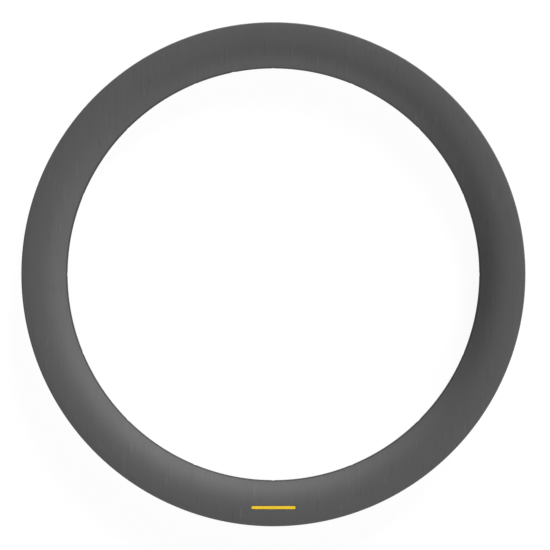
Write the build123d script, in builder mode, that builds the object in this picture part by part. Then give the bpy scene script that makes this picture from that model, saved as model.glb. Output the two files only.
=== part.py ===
from build123d import *

import os
from math import atan2, cos, degrees, radians, sin, tan

# Deep carbon clincher rim, moulded as one hollow ring. Millimetres and degrees.
# The rim lies flat: its axle line is Z, its middle plane is XY and X points at a spoke hole.

# Tyre seat
bead_seat_diameter = 622.0
flange_height = 5.5
inner_width = 21.0
flange_thickness = 3.0
lip_bevel = 0.9
lip_bevel_height = 1.1
bead_shelf_width = 4.2
bead_shelf_fall = 0.15
hump_height = 0.4
hump_run = 0.8
well_depth = 3.5
well_wall_run = 1.5

# Side walls, from the lip inwards: taper, flat, flank curve, straight flank, bevelled nose with a land
rim_depth = 56.0
side_bulge = 0.5
taper_length = 10.6
taper_lead = 3.1
taper_tail = 3.2
taper_tilt = 4.1
flat_height = 4.3
flank_lead = 17.0
flank_tail = 10.0
flank_tilt = 27.0
flank_straight = 7.0
nose_bevel_height = 0.8
nose_bevel_width = 2.0
nose_land = 2.8

# Wall thicknesses
side_wall = 0.8
tyre_bed_wall = 1.3
spoke_bed_wall = 2.5

# Drilling
spoke_count = 16
spoke_hole_diameter = 4.5
access_hole_diameter = 7.0
valve_hole_diameter = 6.5
valve_after_spoke = 4
drill_margin = 3.0

# Radii from the axle line
outer_radius = bead_seat_diameter / 2 + flange_height
lip_start = outer_radius - lip_bevel_height
seat_radius = bead_seat_diameter / 2
shelf_radius = seat_radius - bead_shelf_fall
hump_radius = shelf_radius + hump_height
well_floor = seat_radius - well_depth
flat_outer = outer_radius - taper_length
flat_inner = flat_outer - flat_height
nose_tip = outer_radius - rim_depth
nose_top = nose_tip + nose_bevel_height

# Heights above the middle plane
flange_face = inner_width / 2
lip_edge = flange_face + flange_thickness
half_width = lip_edge + side_bulge
hump_foot = flange_face - bead_shelf_width
hump_crest = hump_foot - hump_run
well_edge = hump_crest - well_wall_run
land_edge = nose_land / 2
nose_edge = land_edge + nose_bevel_width


def slant(tilt):
    """Direction in the section that leads outwards and rises by a tilt."""
    return Vector(cos(radians(tilt)), sin(radians(tilt)))


def flank_poles(start, end):
    """Control points of the curve that leaves the flat straight on and ends at the flank's tilt."""
    return start, start - Vector(flank_lead, 0), end + slant(flank_tilt) * flank_tail, end


def radial_plane(radius, angle):
    """Plane that faces straight out from the axle line, at a radius and at an angle round the rim."""
    outward = Vector(1, 0, 0).rotate(Axis.Z, angle)
    return Plane(origin=outward * radius, z_dir=outward)


# Outside of the section, drawn as its upper half and mirrored: X is the radius, Y the height
nose_corner = Vector(nose_top, nose_edge)
flank_end = nose_corner + slant(flank_tilt) * flank_straight
lip_corner = Vector(lip_start, lip_edge)

with BuildSketch(Plane.XZ) as section:
    with BuildLine():
        Polyline((nose_tip, 0), (nose_tip, land_edge), nose_corner, flank_end)
        Bezier(*flank_poles(Vector(flat_inner, half_width), flank_end))
        Line((flat_inner, half_width), (flat_outer, half_width))
        Bezier(
            (flat_outer, half_width),
            (flat_outer + taper_lead, half_width),
            lip_corner - slant(-taper_tilt) * taper_tail,
            lip_corner,
        )
        Polyline(
            lip_corner,
            (outer_radius, lip_edge - lip_bevel),
            (outer_radius, flange_face + lip_bevel),
            (lip_start, flange_face),
            (seat_radius, flange_face),
            (shelf_radius, hump_foot),
            (hump_radius, hump_crest),
            (well_floor, well_edge),
            (well_floor, 0),
        )
        mirror(about=Plane.XZ)
    make_face()

# Hollow between the tyre bed and the spoke bed, never nearer to the outside than a wall's thickness
hollow_side = half_width - side_wall
hollow_floor = nose_tip + spoke_bed_wall
hollow_roof = shelf_radius - tyre_bed_wall
hollow_well = well_floor - tyre_bed_wall
bed_slope = degrees(atan2(hump_radius - well_floor, well_wall_run))
hollow_well_edge = well_edge + tyre_bed_wall * tan(radians(bed_slope / 2))
hollow_roof_edge = hollow_well_edge + (hollow_roof - hollow_well) / tan(radians(bed_slope))
hollow_flat_end = Vector(flat_inner, hollow_side)
hollow_flank_end = flank_end + slant(flank_tilt - 90) * side_wall
floor_edge = hollow_flank_end.Y - (hollow_flank_end.X - hollow_floor) * tan(radians(flank_tilt))

with BuildSketch(Plane.XZ) as hollow:
    with BuildLine():
        inner_flank = Bezier(*flank_poles(hollow_flat_end, hollow_flank_end), mode=Mode.PRIVATE)
        Polyline(
            (hollow_floor, 0),
            (hollow_floor, floor_edge),
            hollow_flank_end,
            inner_flank @ 0.5,
            hollow_flat_end,
            (hollow_roof, hollow_side),
            (hollow_roof, hollow_roof_edge),
            (hollow_well, hollow_well_edge),
            (hollow_well, 0),
        )
        mirror(about=Plane.XZ)
    make_face()

with BuildPart() as rim:
    add(section.sketch)
    revolve(axis=Axis.Z)
    add(hollow.sketch)
    revolve(axis=Axis.Z, mode=Mode.SUBTRACT)

    spoke_pitch = 360 / spoke_count
    spoke_angles = [number * spoke_pitch for number in range(spoke_count)]
    inside_hollow = hollow_floor + drill_margin
    with Locations(*[radial_plane(inside_hollow, angle) for angle in spoke_angles]):
        Hole(spoke_hole_diameter / 2, depth=spoke_bed_wall + 2 * drill_margin)

    access_depth = outer_radius - hollow_well + drill_margin
    with Locations(*[radial_plane(outer_radius, angle) for angle in spoke_angles]):
        Hole(access_hole_diameter / 2, depth=access_depth)

    valve_angle = (valve_after_spoke + 0.5) * spoke_pitch
    with Locations(radial_plane(outer_radius, valve_angle)):
        Hole(valve_hole_diameter / 2, depth=rim_depth + drill_margin)

rim.part.label = "rim"

os.makedirs("parts", exist_ok=True)
export_step(rim.part, "parts/rim.step")
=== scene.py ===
import math

import bmesh
import bpy
from mathutils import Matrix, Vector
from mathutils.bvhtree import BVHTree


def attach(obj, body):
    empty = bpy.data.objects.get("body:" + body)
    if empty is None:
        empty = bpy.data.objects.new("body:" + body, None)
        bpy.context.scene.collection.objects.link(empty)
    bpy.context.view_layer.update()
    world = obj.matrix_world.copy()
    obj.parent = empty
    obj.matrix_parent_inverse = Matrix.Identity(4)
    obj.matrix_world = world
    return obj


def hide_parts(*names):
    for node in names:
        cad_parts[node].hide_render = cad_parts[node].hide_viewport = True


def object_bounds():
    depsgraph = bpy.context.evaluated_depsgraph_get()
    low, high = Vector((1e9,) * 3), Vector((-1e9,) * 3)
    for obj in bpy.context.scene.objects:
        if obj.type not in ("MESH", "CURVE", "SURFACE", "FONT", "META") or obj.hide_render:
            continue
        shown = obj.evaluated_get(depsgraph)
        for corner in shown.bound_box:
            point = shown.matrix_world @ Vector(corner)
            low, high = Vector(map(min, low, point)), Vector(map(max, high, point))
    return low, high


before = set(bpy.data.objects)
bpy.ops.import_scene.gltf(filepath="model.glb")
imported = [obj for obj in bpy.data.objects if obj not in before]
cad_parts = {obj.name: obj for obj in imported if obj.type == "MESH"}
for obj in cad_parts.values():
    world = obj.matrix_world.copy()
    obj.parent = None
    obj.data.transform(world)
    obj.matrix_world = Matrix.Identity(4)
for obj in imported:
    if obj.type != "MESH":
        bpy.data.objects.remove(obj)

cad_lowest, cad_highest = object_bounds()

# Bare deep-section carbon rim, lying flat: axle line along Z, a spoke hole on X. Metres and radians.
mm = 0.001
full_turn = 2.0 * math.pi
axle_point = (0.0, 0.0, 0.0)
axle_line = (0.0, 0.0, 1.0)
spoke_line = (1.0, 0.0, 0.0)

# Outside of the section, in millimetres: radius from the axle line and height over the middle plane
nose_tip = 260.5
nose_swell = 0.9
nose_corner = (262.0, 3.76)
nose_lead = 0.6
flank_hold = 0.5
flank_start = (267.54, 6.58)
flank_tilt = math.radians(27.0)
flank_tail = 10.0
flank_lead = 17.0
flat_inner = (301.6, 14.0)
flat_outer = (305.9, 14.0)
taper_lead = 3.1
taper_tail = 3.2
taper_tilt = math.radians(-4.1)
lip_outside = (315.4, 13.5)
lip_top_outside = (316.5, 12.6)
lip_top_inside = (316.5, 11.4)
lip_inside = (315.4, 10.5)
flange_foot = (311.0, 10.5)
shelf_end = (310.85, 6.3)
hump_top = (311.25, 5.5)
well_edge = (307.5, 4.0)
well_middle = (307.5, 0.0)

# Hollow between the beds, in the same way
hollow_section = (
    (263.0, 0.0), (263.0, 3.37), (267.9, 5.86), (284.2, 11.8), (301.6, 13.2),
    (309.55, 13.2), (309.55, 6.2), (306.2, 4.9), (306.2, 0.0),
)

# Steps, roundings and tolerances of the section: lengths in millimetres, the bend in radians
curve_steps = 14
hoop_steps = 288
lip_round = 0.35
foot_round = 1.0
hump_round = 0.6
round_steps = 3
join_gap = 0.001
corner_reach = 0.01
corner_digits = 3
straight_bend = 1e-4

# Drilling, as radii of the holes and distances from the axle line
spoke_count = 16
spoke_pitch = full_turn / spoke_count
spoke_hole_radius = 2.25 * mm
access_hole_radius = 3.5 * mm
valve_hole_radius = 3.25 * mm
valve_after_spoke = 4.5
drill_facets = 40
sink_depth = 1.0 * mm
sink_reach = 0.6 * mm
inside = 255.0 * mm
in_hollow = 268.0 * mm
under_bed = 303.0 * mm
outside = 322.0 * mm
hole_edge_angle = math.radians(35.0)
weld = 0.005 * mm

# Stripe of film on the upper flank
stripe_radius = 292.6 * mm
stripe_angle = math.radians(270.0)
stripe_length = 55.0 * mm
stripe_width = 3.6 * mm
stripe_lift = 0.05 * mm
stripe_thickness = 0.09 * mm
stripe_corner = 1.2 * mm
stripe_corner_steps = 4
stripe_steps = 30
stripe_rows = 3

# Colours and gloss of the carbon
carbon_dark = (0.062, 0.062, 0.062, 1.0)
carbon_light = (0.068, 0.068, 0.068, 1.0)
fibre_pale = (0.077, 0.077, 0.077, 1.0)
fibre_dark = (0.055, 0.055, 0.055, 1.0)
# Painted shade: the nose's steep faces drawn darker in the base colour
nose_painted_shade = (0.020, 0.020, 0.020, 1.0)
bed_colour = (0.050, 0.050, 0.052, 1.0)
cut_fibre = (0.110, 0.108, 0.104, 1.0)
carbon_roughness = (0.51, 0.59)
carbon_shine = 0.31
bed_roughness = 0.62
cut_roughness = 0.85

# Fibres of the carbon: how often they change along X, Y and Z, or along the hoop, the radius and Z
fibre_stretch = (1300.0, 22.0, 22.0)
fibre_detail = 3.0
tow_stretch = (330.0, 7.0, 7.0)
tow_detail = 2.0
tone_stretch = (14.0, 9.0, 14.0)
tone_detail = 2.0
line_stretch = (420.0, 38.0, 38.0)
line_detail = 1.0
hoop_stretch = (9.0, 1500.0, 1500.0)
hoop_detail = 3.0
streak_shares = (0.40, 0.30, 0.30)
streak_range = (0.32, 0.68)
pale_line_range = (0.66, 0.76)
dark_line_range = (0.24, 0.34)
gloss_shares = (0.6, 0.4)
gloss_range = (0.3, 0.7)
relief_shares = (0.6, 0.4)
relief_strength = 0.22
relief_depth = 0.02 * mm

# Zones of the carbon and how softly they end
bed_floor_radius = 306.0 * mm
bed_floor_fade = 0.5 * mm
bed_half_width = 10.6 * mm
bed_side_fade = 0.3 * mm
lip_radius = 315.4 * mm
lip_fade = 0.8 * mm
lip_rub_share = 0.15
# Painted shade along the nose: how far out it reaches and how softly it ends
nose_shade_edge = 261.5 * mm
nose_shade_fade = 0.9 * mm
mid_hollow_radius = 285.0 * mm
mid_hollow_fade = 1.0 * mm
cut_edge_range = (1.03, 1.16)

# Satin grain of the lacquer and of the film
grain_detail = 3.0
haze_detail = 2.0
lacquer_grain_scale = 2600.0
lacquer_haze_scale = 45.0
film_grain_scale = 3200.0
film_haze_scale = 160.0

# Finish of the film
film_colour = (0.64, 0.425, 0.018, 1.0)
film_faded = (0.60, 0.390, 0.016, 1.0)
film_tone_range = (0.35, 0.75)
film_roughness = (0.38, 0.50)
film_relief_strength = 0.3
film_relief_depth = 0.01 * mm

# Camera, square picture
camera_place = (2.0 * mm, -0.88 * mm, 1462.0 * mm)
camera_lens = 75.59
camera_reach = 100.0
sensor_width = 36.0

# Far soft panels: azimuth, height and spread in degrees, then strength
panels = {
    "key_panel": (66.0, 8.0, 34.0, 16.0),
    "fill_panel": (276.0, 8.0, 34.0, 8.35),
}

# White room and floor
white = (1.0, 1.0, 1.0, 1.0)
floor_half_size = 12.0
floor_own_light = 0.95
floor_seen_paint = (0.07, 0.07, 0.07, 1.0)
floor_paint = (0.80, 0.80, 0.80, 1.0)

# Sockets of the Mix node: both ends and the result, for a colour and for a number
mix_colour_ends = (6, 7)
mix_colour_result = 2
mix_number_ends = (2, 3)
mix_number_result = 0


def node(tree, kind, **settings):
    """A node of a kind, with its settings."""
    made = tree.nodes.new(kind)
    for name, value in settings.items():
        setattr(made, name, value)
    return made


def feed(tree, socket, value):
    """A link into a socket, or a plain value on it."""
    if isinstance(value, bpy.types.NodeSocket):
        tree.links.new(value, socket)
    else:
        socket.default_value = value


def reckon(tree, operation, *values):
    """The result of a sum on links and plain numbers."""
    made = node(tree, "ShaderNodeMath", operation=operation)
    for socket, value in zip(made.inputs, values):
        feed(tree, socket, value)
    return made.outputs["Value"]


def times(tree, first, second):
    """One value multiplied by another."""
    return reckon(tree, "MULTIPLY", first, second)


def length_of(tree, first, second):
    """The length of a step from its two parts at right angles."""
    squares = reckon(tree, "ADD", times(tree, first, first), times(tree, second, second))
    return reckon(tree, "SQRT", squares)


def mixture(tree, values, shares):
    """Values added up by their shares."""
    parts = [times(tree, value, share) for value, share in zip(values, shares)]
    mixed = parts.pop()
    while parts:
        mixed = reckon(tree, "ADD", parts.pop(), mixed)
    return mixed


def ramp(tree, value, start, end, low=0.0, high=1.0):
    """A value carried smoothly from one range to another."""
    made = node(tree, "ShaderNodeMapRange", interpolation_type="SMOOTHSTEP")
    feed(tree, made.inputs["Value"], value)
    feed(tree, made.inputs["From Min"], start)
    feed(tree, made.inputs["From Max"], end)
    feed(tree, made.inputs["To Min"], low)
    feed(tree, made.inputs["To Max"], high)
    return made.outputs["Result"]


def fade(tree, value, start, end):
    """A share that falls from one to nothing over a range."""
    return ramp(tree, value, start, end, 1.0, 0.0)


def blend_colour(tree, share, first, second):
    """One colour turning into another by a share."""
    made = node(tree, "ShaderNodeMix", data_type="RGBA")
    feed(tree, made.inputs["Factor"], share)
    for number, colour in zip(mix_colour_ends, (first, second)):
        feed(tree, made.inputs[number], colour)
    return made.outputs[mix_colour_result]


def blend_number(tree, share, first, second):
    """One number turning into another by a share."""
    made = node(tree, "ShaderNodeMix", data_type="FLOAT")
    feed(tree, made.inputs["Factor"], share)
    for number, value in zip(mix_number_ends, (first, second)):
        feed(tree, made.inputs[number], value)
    return made.outputs[mix_number_result]


def cloud(tree, place, stretch, detail):
    """Noise on a place that is stretched by a scale for each direction."""
    mapping = node(tree, "ShaderNodeMapping")
    feed(tree, mapping.inputs["Vector"], place)
    mapping.inputs["Scale"].default_value = stretch
    noise = node(tree, "ShaderNodeTexNoise", noise_dimensions="3D")
    feed(tree, noise.inputs["Vector"], mapping.outputs["Vector"])
    noise.inputs["Scale"].default_value = 1.0
    noise.inputs["Detail"].default_value = detail
    return noise.outputs["Fac"]


def satin_grain_group():
    """The fine grain of a satin surface, shared by the lacquer and the film: a haze and a height."""
    group = bpy.data.node_groups.new("satin_grain", "ShaderNodeTree")
    group.interface.new_socket("Place", in_out="INPUT", socket_type="NodeSocketVector")
    group.interface.new_socket("Grain Scale", in_out="INPUT", socket_type="NodeSocketFloat")
    group.interface.new_socket("Haze Scale", in_out="INPUT", socket_type="NodeSocketFloat")
    group.interface.new_socket("Haze", in_out="OUTPUT", socket_type="NodeSocketFloat")
    group.interface.new_socket("Grain", in_out="OUTPUT", socket_type="NodeSocketFloat")
    start = node(group, "NodeGroupInput")
    end = node(group, "NodeGroupOutput")
    for name, detail in (("Grain", grain_detail), ("Haze", haze_detail)):
        noise = node(group, "ShaderNodeTexNoise", noise_dimensions="3D")
        feed(group, noise.inputs["Vector"], start.outputs["Place"])
        feed(group, noise.inputs["Scale"], start.outputs[f"{name} Scale"])
        noise.inputs["Detail"].default_value = detail
        feed(group, end.inputs[name], noise.outputs["Fac"])
    return group


satin_grain = satin_grain_group()


def satin(tree, place, grain_scale, haze_scale):
    """The satin grain placed in a material: its haze and its height."""
    made = node(tree, "ShaderNodeGroup", node_tree=satin_grain)
    feed(tree, made.inputs["Place"], place)
    made.inputs["Grain Scale"].default_value = grain_scale
    made.inputs["Haze Scale"].default_value = haze_scale
    return made.outputs["Haze"], made.outputs["Grain"]


def new_finish(name):
    """A material with its tree, its surface shader and the place on the object."""
    material = bpy.data.materials.new(name)
    material.use_nodes = True
    tree = material.node_tree
    surface = tree.nodes["Principled BSDF"]
    place = node(tree, "ShaderNodeTexCoord").outputs["Object"]
    return material, tree, surface, place


def fine_relief(tree, surface, height, strength, depth):
    """A height on the surface, as a fine relief."""
    bump = node(tree, "ShaderNodeBump")
    bump.inputs["Strength"].default_value = strength
    bump.inputs["Distance"].default_value = depth
    feed(tree, bump.inputs["Height"], height)
    feed(tree, surface.inputs["Normal"], bump.outputs["Normal"])


def cut_round(tree, off_angle, radius, height, hole_radius):
    """Share of cut edge round a drilled hole, from how far a place is off its axis."""
    off_axis = length_of(tree, times(tree, off_angle, radius), height)
    return fade(tree, reckon(tree, "DIVIDE", off_axis, hole_radius), *cut_edge_range)


def carbon_shell():
    """Satin carbon: fibres that run along Y, a duller tyre bed, bare cut edges in the drilled holes and
    painted shade along the nose.
    """
    material, tree, surface, place = new_finish("carbon_shell")
    split = node(tree, "ShaderNodeSeparateXYZ")
    feed(tree, split.inputs["Vector"], place)
    x, y, z = split.outputs
    radius = length_of(tree, x, y)
    angle = reckon(tree, "ARCTAN2", y, x)
    height = reckon(tree, "ABSOLUTE", z)

    # Fibres, tows and slow changes of tone
    fibres = cloud(tree, place, fibre_stretch, fibre_detail)
    tows = cloud(tree, place, tow_stretch, tow_detail)
    tone = cloud(tree, place, tone_stretch, tone_detail)
    lines = cloud(tree, place, line_stretch, line_detail)
    haze, grain = satin(tree, place, lacquer_grain_scale, lacquer_haze_scale)
    streaks = ramp(tree, mixture(tree, (fibres, tows, tone), streak_shares), *streak_range)
    pale_lines = ramp(tree, lines, *pale_line_range)
    dark_lines = fade(tree, lines, *dark_line_range)

    # Tyre bed, with fibres that follow the hoop
    bed_depth = ramp(tree, radius, bed_floor_radius, bed_floor_radius + bed_floor_fade)
    bed_width = fade(tree, height, bed_half_width, bed_half_width + bed_side_fade)
    bed = times(tree, bed_depth, bed_width)
    hoop_place = node(tree, "ShaderNodeCombineXYZ")
    for socket, value in zip(hoop_place.inputs, (angle, radius, z)):
        feed(tree, socket, value)
    hoop_fibres = cloud(tree, hoop_place.outputs["Vector"], hoop_stretch, hoop_detail)
    bed_tone = blend_colour(tree, hoop_fibres, bed_colour, carbon_dark)

    # Drilled holes
    off_spoke = reckon(tree, "PINGPONG", angle, spoke_pitch / 2.0)
    off_valve = reckon(tree, "SUBTRACT", angle, valve_after_spoke * spoke_pitch)
    hole_radius = ramp(
        tree, radius, mid_hollow_radius, mid_hollow_radius + mid_hollow_fade,
        spoke_hole_radius, access_hole_radius)
    spoke_cut = cut_round(tree, off_spoke, radius, z, hole_radius)
    valve_cut = cut_round(tree, off_valve, radius, z, valve_hole_radius)
    cut = reckon(tree, "MAXIMUM", spoke_cut, valve_cut)

    # Lip, rubbed a little lighter in patches, and painted shade: a darker band along the nose that stands in
    # for the shade on its steep faces
    lip = ramp(tree, radius, lip_radius, lip_radius + lip_fade)
    lip_rub = times(tree, lip, times(tree, haze, lip_rub_share))
    nose = fade(tree, radius, nose_shade_edge, nose_shade_edge + nose_shade_fade)

    # Colour
    shell = blend_colour(tree, streaks, carbon_dark, carbon_light)
    shell = blend_colour(tree, pale_lines, shell, fibre_pale)
    shell = blend_colour(tree, dark_lines, shell, fibre_dark)
    # Painted shade darkens the colour along the nose
    shell = blend_colour(tree, nose, shell, nose_painted_shade)
    shell = blend_colour(tree, lip_rub, shell, cut_fibre)
    shell = blend_colour(tree, bed, shell, bed_tone)
    feed(tree, surface.inputs["Base Color"], blend_colour(tree, cut, shell, cut_fibre))

    # Gloss and relief
    gloss = ramp(tree, mixture(tree, (haze, fibres), gloss_shares), *gloss_range, *carbon_roughness)
    gloss = blend_number(tree, bed, gloss, bed_roughness)
    feed(tree, surface.inputs["Roughness"], blend_number(tree, cut, gloss, cut_roughness))
    surface.inputs["Specular IOR Level"].default_value = carbon_shine
    relief = blend_number(tree, bed, mixture(tree, (fibres, grain), relief_shares), hoop_fibres)
    fine_relief(tree, surface, relief, relief_strength, relief_depth)
    return material


def stripe_film():
    """Printed satin film with a fine grain and a slightly uneven tone."""
    material, tree, surface, place = new_finish("stripe_film")
    haze, grain = satin(tree, place, film_grain_scale, film_haze_scale)
    tone = ramp(tree, haze, *film_tone_range)
    feed(tree, surface.inputs["Base Color"], blend_colour(tree, tone, film_colour, film_faded))
    feed(tree, surface.inputs["Roughness"], ramp(tree, haze, *gloss_range, *film_roughness))
    fine_relief(tree, surface, grain, film_relief_strength, film_relief_depth)
    return material


def seen_by_eye(tree):
    """Share of rays that show the background: from the camera, a reflection or glass."""
    path = node(tree, "ShaderNodeLightPath")
    mirrored = reckon(tree, "MAXIMUM", path.outputs["Is Glossy Ray"], path.outputs["Is Transmission Ray"])
    return reckon(tree, "MAXIMUM", path.outputs["Is Camera Ray"], mirrored)


def pale_floor():
    """White to the eye, with the shadow kept, and plain pale paint for the light it throws back."""
    material = bpy.data.materials.new("pale_floor")
    material.use_nodes = True
    tree = material.node_tree
    tree.nodes.remove(tree.nodes["Principled BSDF"])
    glow = node(tree, "ShaderNodeEmission")
    glow.inputs["Color"].default_value = white
    glow.inputs["Strength"].default_value = floor_own_light
    seen_paint = node(tree, "ShaderNodeBsdfDiffuse")
    seen_paint.inputs["Color"].default_value = floor_seen_paint
    paint = node(tree, "ShaderNodeBsdfDiffuse")
    paint.inputs["Color"].default_value = floor_paint
    seen = node(tree, "ShaderNodeAddShader")
    feed(tree, seen.inputs[0], glow.outputs["Emission"])
    feed(tree, seen.inputs[1], seen_paint.outputs["BSDF"])
    either = node(tree, "ShaderNodeMixShader")
    feed(tree, either.inputs["Fac"], seen_by_eye(tree))
    feed(tree, either.inputs[1], paint.outputs["BSDF"])
    feed(tree, either.inputs[2], seen.outputs["Shader"])
    feed(tree, tree.nodes["Material Output"].inputs["Surface"], either.outputs["Shader"])
    return material


def white_room():
    """A room that is white to the eye and in the gloss, and leaves the lighting to the panels."""
    world = bpy.data.worlds.new("white_room")
    world.use_nodes = True
    tree = world.node_tree
    back = tree.nodes["Background"]
    back.inputs["Color"].default_value = white
    feed(tree, back.inputs["Strength"], seen_by_eye(tree))
    bpy.context.scene.world = world


def new_piece(name, shape, material):
    """An object at the origin from a bmesh, with its material."""
    mesh = bpy.data.meshes.new(name)
    shape.to_mesh(mesh)
    shape.free()
    mesh.materials.append(material)
    piece = bpy.data.objects.new(name, mesh)
    bpy.context.scene.collection.objects.link(piece)
    return piece


def along(tilt, length):
    """A step in the section that leads outwards and rises by a tilt."""
    return Vector((math.cos(tilt) * length, 0.0, math.sin(tilt) * length))


def in_section(place):
    """A radius and a height as a point of the section."""
    return Vector((place[0], 0.0, place[1]))


def set_point(point, place, before, after):
    """A point of the section's curve, with straight sides where no handle is given."""
    centre = in_section(place)
    point.co = centre
    point.handle_left_type = "VECTOR" if before is None else "FREE"
    point.handle_right_type = "VECTOR" if after is None else "FREE"
    if before is not None:
        point.handle_left = centre + before
    if after is not None:
        point.handle_right = centre + after


def half_section():
    """Upper half of the outside of the section, from the middle of the nose to the middle of the well."""
    curve = bpy.data.curves.new("half_section", "CURVE")
    curve.dimensions = "3D"
    curve.resolution_u = curve_steps
    spline = curve.splines.new("BEZIER")
    flank = in_section(nose_corner) + along(flank_tilt, flank_hold)
    held = (flank.x, flank.z)
    corners = (
        lip_top_outside, lip_top_inside, lip_inside, flange_foot, shelf_end, hump_top, well_edge, well_middle)
    points = [
        ((nose_tip, 0.0), None, Vector((0.0, 0.0, nose_swell))),
        (nose_corner, -along(flank_tilt, nose_lead), None),
        (held, None, None),
        (flank_start, None, along(flank_tilt, flank_tail)),
        (flat_inner, Vector((-flank_lead, 0.0, 0.0)), None),
        (flat_outer, None, Vector((taper_lead, 0.0, 0.0))),
        (lip_outside, -along(taper_tilt, taper_tail), None),
    ]
    points += [(corner, None, None) for corner in corners]
    spline.bezier_points.add(len(points) - 1)
    for point, setting in zip(spline.bezier_points, points):
        set_point(point, *setting)
    holder = bpy.data.objects.new("half_section", curve)
    mesh = bpy.data.meshes.new_from_object(holder)
    shape = bmesh.new()
    shape.from_mesh(mesh)
    bpy.data.objects.remove(holder)
    bpy.data.curves.remove(curve)
    bpy.data.meshes.remove(mesh)
    bmesh.ops.remove_doubles(shape, verts=shape.verts, dist=join_gap)

    # Points on straight stretches go, apart from the section's own corners
    own_corners = corners + (lip_outside, held)
    kept = {tuple(round(value, corner_digits) for value in corner) for corner in own_corners}
    straight = [
        vert for vert in shape.verts
        if len(vert.link_edges) == 2 and vert.calc_edge_angle(0.0) < straight_bend
        and (round(vert.co.x, corner_digits), round(vert.co.z, corner_digits)) not in kept]
    bmesh.ops.dissolve_verts(shape, verts=straight)
    return shape


def join_up(shape, places):
    """A chain of straight edges from place to place."""
    verts = [shape.verts.new(in_section(place)) for place in places]
    for start, end in zip(verts, verts[1:]):
        shape.edges.new((start, end))


def hollow_half_section():
    """Upper half of the hollow's section, straight from corner to corner."""
    shape = bmesh.new()
    join_up(shape, hollow_section)
    return shape


def turn_once(shape, axis, steps, gap):
    """A chain of edges turned once round an axis, and closed."""
    bmesh.ops.spin(
        shape, geom=list(shape.verts) + list(shape.edges), cent=axle_point, axis=axis, angle=full_turn,
        steps=steps, use_merge=True, use_duplicate=False)
    bmesh.ops.remove_doubles(shape, verts=shape.verts, dist=gap)


def spun(shape):
    """A half section turned once round the axle line and mirrored in the middle plane."""
    turn_once(shape, axle_line, hoop_steps, join_gap)
    half = list(shape.verts) + list(shape.edges) + list(shape.faces)
    bmesh.ops.mirror(shape, geom=half, axis="Z", merge_dist=join_gap)
    bmesh.ops.remove_doubles(shape, verts=shape.verts, dist=join_gap)
    bmesh.ops.recalc_face_normals(shape, faces=shape.faces)
    return shape


def round_hoops(shape, corner, width):
    """The two hoops of edges at a corner of the section, rounded."""
    radius, height = corner

    def on_corner(vert):
        off_radius = abs(vert.co.xy.length - radius)
        off_height = abs(abs(vert.co.z) - height)
        return off_radius < corner_reach and off_height < corner_reach

    hoops = [edge for edge in shape.edges if all(on_corner(vert) for vert in edge.verts)]
    bmesh.ops.bevel(
        shape, geom=hoops, offset=width, offset_type="OFFSET", segments=round_steps, profile=0.5,
        affect="EDGES", material=-1)


def add_to(shape, other):
    """Another shape's faces, added to a shape."""
    mesh = bpy.data.meshes.new("added")
    other.to_mesh(mesh)
    other.free()
    shape.from_mesh(mesh)
    bpy.data.meshes.remove(mesh)


def moulded_ring():
    """The rim before drilling: spun section with rounded edges and the hollow inside."""
    shape = spun(half_section())
    for corner in (lip_outside, lip_top_outside, lip_top_inside, lip_inside):
        round_hoops(shape, corner, lip_round)
    round_hoops(shape, flange_foot, foot_round)
    for corner in (shelf_end, hump_top, well_edge):
        round_hoops(shape, corner, hump_round)
    hollow = spun(hollow_half_section())
    bmesh.ops.reverse_faces(hollow, faces=hollow.faces)
    add_to(shape, hollow)
    bmesh.ops.scale(shape, verts=shape.verts, vec=(mm, mm, mm))
    return shape


def drill(outline, angle):
    """A drill turned from half its outline, as distances and radii along a spoke's axis at an angle."""
    tool = bmesh.new()
    join_up(tool, outline)
    turn_once(tool, spoke_line, drill_facets, weld)
    bmesh.ops.recalc_face_normals(tool, faces=tool.faces)
    bmesh.ops.rotate(tool, verts=tool.verts, cent=axle_point, matrix=Matrix.Rotation(angle, 3, "Z"))
    return tool


def straight_outline(radius, start, end):
    """Half the outline of a straight drill."""
    return (start, 0.0), (start, radius), (end, radius), (end, 0.0)


def sunk_outline(radius, mouth, end):
    """Half the outline of a drill with a cone at its mouth that sinks into the nose."""
    start = mouth - sink_reach
    wide = radius + sink_depth + sink_reach
    return (start, 0.0), (start, wide), (mouth + sink_depth, radius), (end, radius), (end, 0.0)


def drills():
    """All the drills: through the spoke bed, through the tyre bed, and through both for the valve."""
    shape = bmesh.new()
    spoke = sunk_outline(spoke_hole_radius, nose_tip * mm, in_hollow)
    access = straight_outline(access_hole_radius, under_bed, outside)
    valve = straight_outline(valve_hole_radius, inside, outside)
    for number in range(spoke_count):
        add_to(shape, drill(spoke, number * spoke_pitch))
        add_to(shape, drill(access, number * spoke_pitch))
    add_to(shape, drill(valve, valve_after_spoke * spoke_pitch))
    return shape


def drilled_mesh(piece):
    """A piece's mesh with all the holes cut out of it, and its tiny edges cleaned up."""
    cutter = new_piece("drills", drills(), piece.data.materials[0])
    cut = piece.modifiers.new("drilling", "BOOLEAN")
    cut.operation = "DIFFERENCE"
    cut.solver = "EXACT"
    cut.object = cutter
    mesh = bpy.data.meshes.new_from_object(piece.evaluated_get(bpy.context.evaluated_depsgraph_get()))
    piece.modifiers.clear()
    bpy.data.objects.remove(cutter)
    clean = bmesh.new()
    clean.from_mesh(mesh)
    bmesh.ops.remove_doubles(clean, verts=clean.verts, dist=weld)
    bmesh.ops.dissolve_degenerate(clean, edges=clean.edges, dist=weld)
    clean.to_mesh(mesh)
    clean.free()
    return mesh


def rim_shell():
    """The moulded rim, drilled, with its holes' edges left crisp."""
    piece = new_piece("rim_shell", moulded_ring(), carbon_shell())
    piece.data = drilled_mesh(piece)
    piece.data.shade_smooth()
    piece.data.set_sharp_from_angle(angle=hole_edge_angle)
    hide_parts("rim")
    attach(piece, "root")
    return piece


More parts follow.
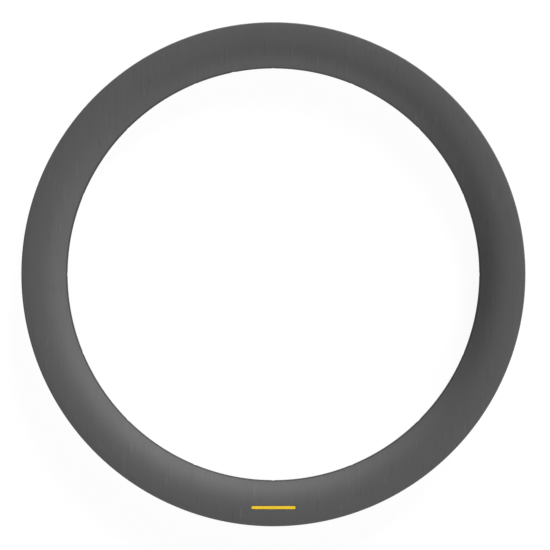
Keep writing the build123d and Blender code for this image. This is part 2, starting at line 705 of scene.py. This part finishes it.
def flank_stripe(rim):
    """A thin bar of film laid on the rim's upper flank."""
    shape = bmesh.new()
    bmesh.ops.create_grid(shape, x_segments=stripe_steps, y_segments=stripe_rows, size=0.5)
    bmesh.ops.scale(shape, verts=shape.verts, vec=(stripe_length, stripe_width, 1.0))
    corners = [vert for vert in shape.verts if len(vert.link_edges) == 2]
    bmesh.ops.bevel(
        shape, geom=corners, offset=stripe_corner, offset_type="OFFSET", segments=stripe_corner_steps,
        profile=0.5, affect="VERTICES", material=-1)
    bmesh.ops.remove_doubles(shape, verts=shape.verts, dist=stripe_thickness)
    centre = Vector((math.cos(stripe_angle), math.sin(stripe_angle), 0.0)) * stripe_radius
    above = cad_highest.z + stripe_width
    bmesh.ops.translate(shape, verts=shape.verts, vec=centre + Vector((0.0, 0.0, above)))
    flank = BVHTree.FromObject(rim, bpy.context.evaluated_depsgraph_get())
    for vert in shape.verts:
        place, normal, _, _ = flank.ray_cast(vert.co, Vector((0.0, 0.0, -1.0)))
        vert.co = place + normal * stripe_lift
    bmesh.ops.recalc_face_normals(shape, faces=shape.faces)
    piece = new_piece("stripe", shape, stripe_film())
    skin = piece.modifiers.new("film", "SOLIDIFY")
    skin.thickness = stripe_thickness
    skin.offset = 1.0
    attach(piece, "root")
    return piece


def floor():
    """A wide pale floor that the rim lies on."""
    shape = bmesh.new()
    bmesh.ops.create_grid(shape, x_segments=1, y_segments=1, size=floor_half_size)
    bmesh.ops.translate(shape, verts=shape.verts, vec=(0.0, 0.0, cad_lowest.z))
    new_piece("floor", shape, pale_floor())


def soft_panel(name, azimuth, elevation, spread, strength):
    """A far soft panel, as a sun lamp with a wide disc that leaves the gloss to the white room."""
    lamp = bpy.data.lights.new(name, "SUN")
    lamp.energy = strength
    lamp.angle = math.radians(spread)
    panel = bpy.data.objects.new(name, lamp)
    panel.rotation_euler = (0.0, math.radians(90.0 - elevation), math.radians(azimuth))
    panel.visible_glossy = False
    bpy.context.scene.collection.objects.link(panel)


def straight_down_camera():
    """A camera over the rim that looks along the axle line."""
    data = bpy.data.cameras.new("camera")
    data.lens = camera_lens
    data.sensor_width = sensor_width
    data.clip_end = camera_reach
    camera = bpy.data.objects.new("camera", data)
    camera.location = camera_place
    bpy.context.scene.collection.objects.link(camera)
    bpy.context.scene.camera = camera


rim = rim_shell()
flank_stripe(rim)
floor()
white_room()
for name, setting in panels.items():
    soft_panel(name, *setting)
straight_down_camera()
bpy.context.scene.view_settings.view_transform = "Standard"
